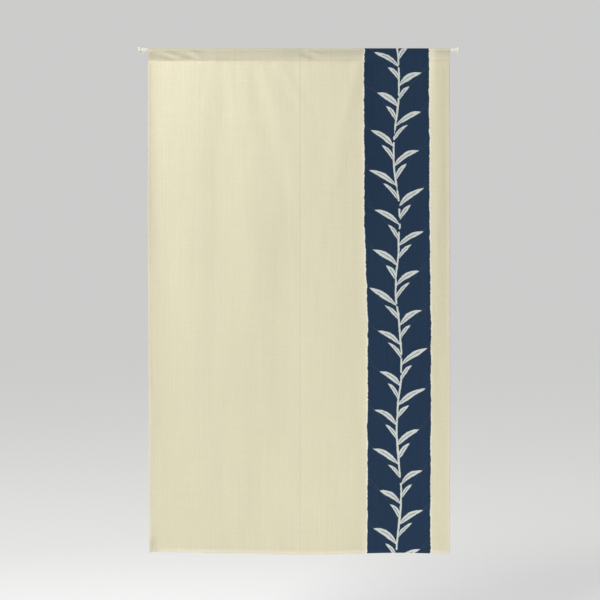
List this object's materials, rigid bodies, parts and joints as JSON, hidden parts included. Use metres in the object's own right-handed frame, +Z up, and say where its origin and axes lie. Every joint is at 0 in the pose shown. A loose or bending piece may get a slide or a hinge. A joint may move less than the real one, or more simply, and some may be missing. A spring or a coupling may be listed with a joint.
{
  "type": "noren curtain and tension rod",
  "caption": "Flat-hanging noren curtain in cream cloth with a navy printed band, its sleeves threaded on a slim spring tension rod with round end caps.",
  "frame": {"origin": "centre of the left end cap's outer face, where the rod presses on the left side of a doorway", "axes": "+X along the rod towards the right end cap, +Z up, and the front of the curtain faces -Y"},
  "size_m": [0.95, 0.02, 1.5062],
  "materials": {
    "cream_cloth": "matt plain weave with a faint slub, slightly sheer",
    "printed_cloth": "matt plain weave with a faint slub and a navy printed band with an off-white spray of willow leaves",
    "rod_paint": "satin off-white paint",
    "cap_plastic": "matt off-white moulded plastic"
  },
  "bodies": {
    "root": {"panel_left": "cream_cloth", "panel_right": "printed_cloth", "rod_tube": "rod_paint", "end_cap_left": "cap_plastic", "end_cap_right": "cap_plastic"}
  },
  "joints": []
}
